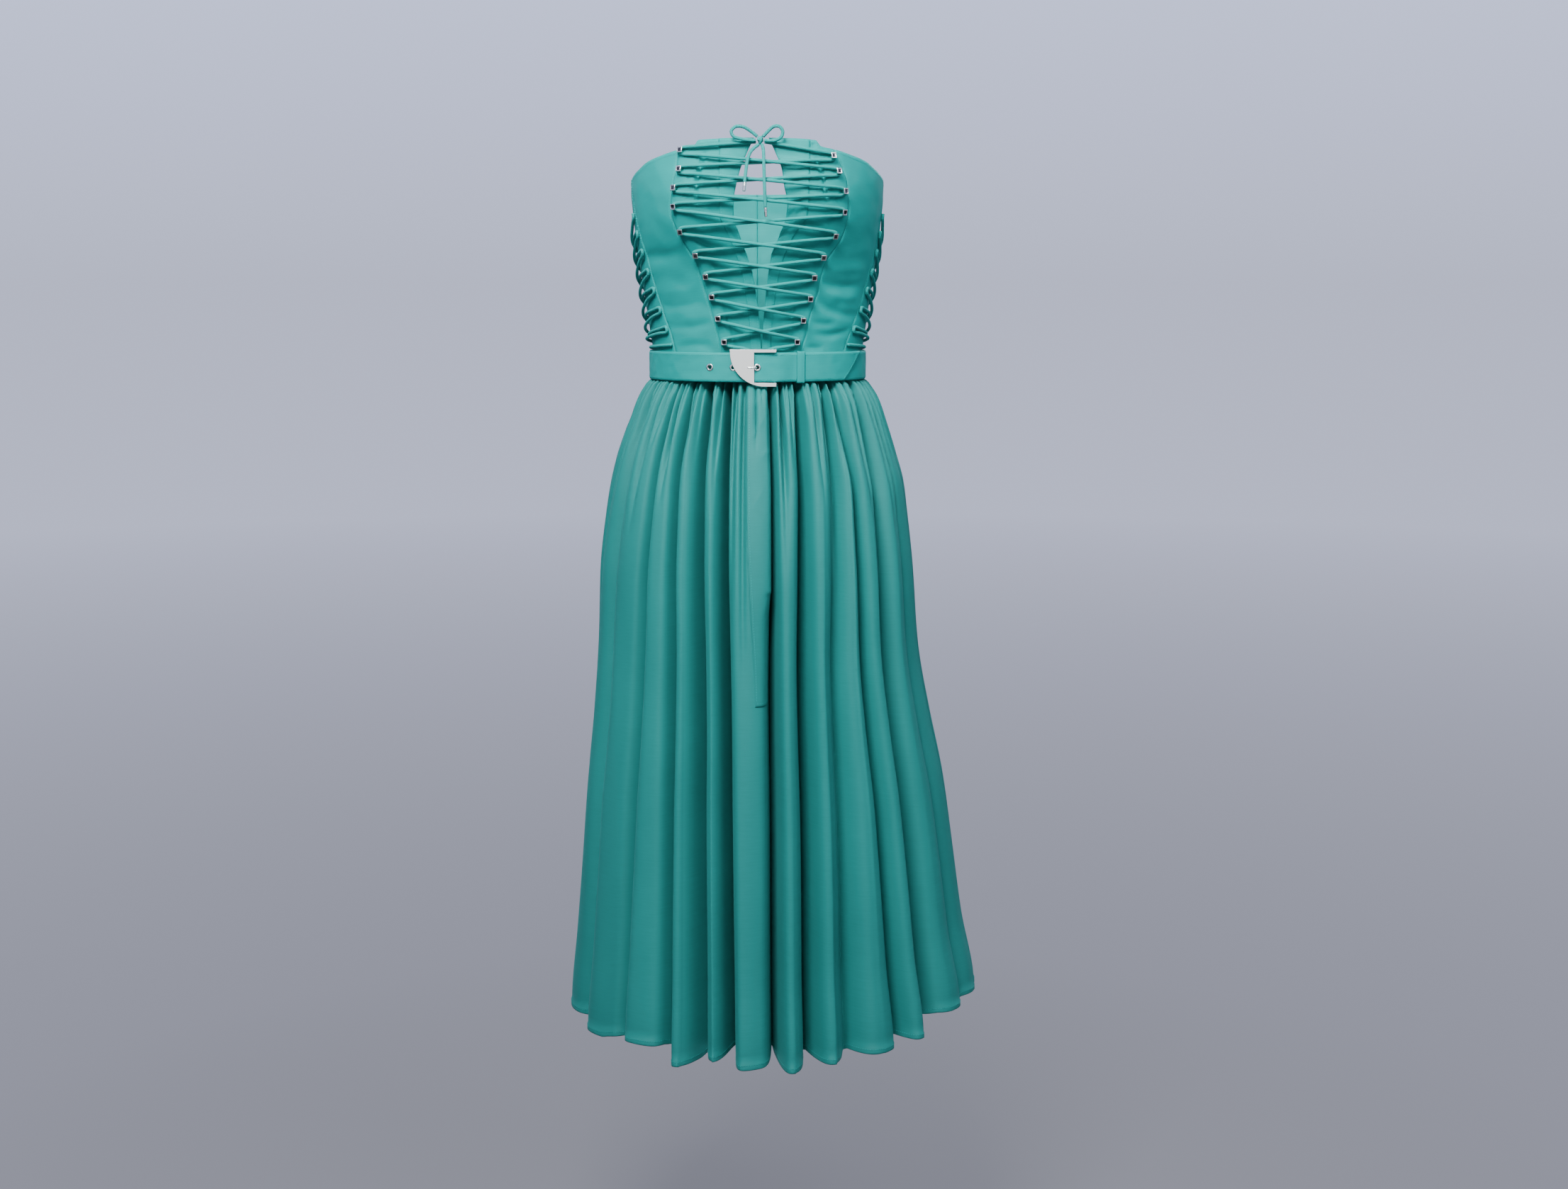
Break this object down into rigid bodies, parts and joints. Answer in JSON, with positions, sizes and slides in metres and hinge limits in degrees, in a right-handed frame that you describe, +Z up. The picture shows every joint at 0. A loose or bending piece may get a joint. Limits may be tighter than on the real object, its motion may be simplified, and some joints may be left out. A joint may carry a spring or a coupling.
{
  "type": "lace-up dress",
  "caption": "Strapless midi dress in teal cotton: laced panelled bodice with an open middle, gathered skirt and a belt with a half-moon buckle.",
  "frame": {"origin": "middle of the waist, at mid height of the belt", "axes": "+Z up the wearer, -Y the front, +X the right of someone who faces the dress"},
  "size_m": [0.4472, 0.4183, 0.9488],
  "materials": {
    "bodice_cloth": "cotton poplin, soft sheen",
    "skirt_cloth": "cotton poplin, soft sheen",
    "belt_cloth": "cotton poplin over a stiffener",
    "lace_cord": "braided cord",
    "nickel": "polished nickel"
  },
  "bodies": {
    "root": {"back_left": "bodice_cloth", "back_right": "bodice_cloth", "belt_buckle": "nickel", "belt_eyelet_1": "nickel", "belt_eyelet_2": "nickel", "belt_eyelet_3": "nickel", "belt_keeper": "belt_cloth", "belt_prong": "nickel", "belt_strap": "belt_cloth", "bow_end_long": "lace_cord", "bow_end_short": "lace_cord", "bow_knot": "lace_cord", "bow_loop_left": "lace_cord", "bow_loop_right": "lace_cord", "bow_tip_long": "nickel", "bow_tip_short": "nickel", "centre_front_left": "bodice_cloth", "centre_front_right": "bodice_cloth", "fly_placket": "skirt_cloth", "front_band_left": "bodice_cloth", "front_band_right": "bodice_cloth", "lace_first_half": "lace_cord", "lace_second_half": "lace_cord", "side_front_left": "bodice_cloth", "side_front_right": "bodice_cloth", "side_lace_left_first": "lace_cord", "side_lace_left_second": "lace_cord", "side_lace_right_first": "lace_cord", "side_lace_right_second": "lace_cord", "side_panel_left": "bodice_cloth", "side_panel_right": "bodice_cloth", "skirt_back_left": "skirt_cloth", "skirt_back_right": "skirt_cloth", "skirt_front_left": "skirt_cloth", "skirt_front_right": "skirt_cloth", "stud_left_1": "nickel", "stud_left_10": "nickel", "stud_left_2": "nickel", "stud_left_3": "nickel", "stud_left_4": "nickel", "stud_left_5": "nickel", "stud_left_6": "nickel", "stud_left_7": "nickel", "stud_left_8": "nickel", "stud_left_9": "nickel", "stud_right_1": "nickel", "stud_right_10": "nickel", "stud_right_2": "nickel", "stud_right_3": "nickel", "stud_right_4": "nickel", "stud_right_5": "nickel", "stud_right_6": "nickel", "stud_right_7": "nickel", "stud_right_8": "nickel", "stud_right_9": "nickel"}
  },
  "joints": []
}
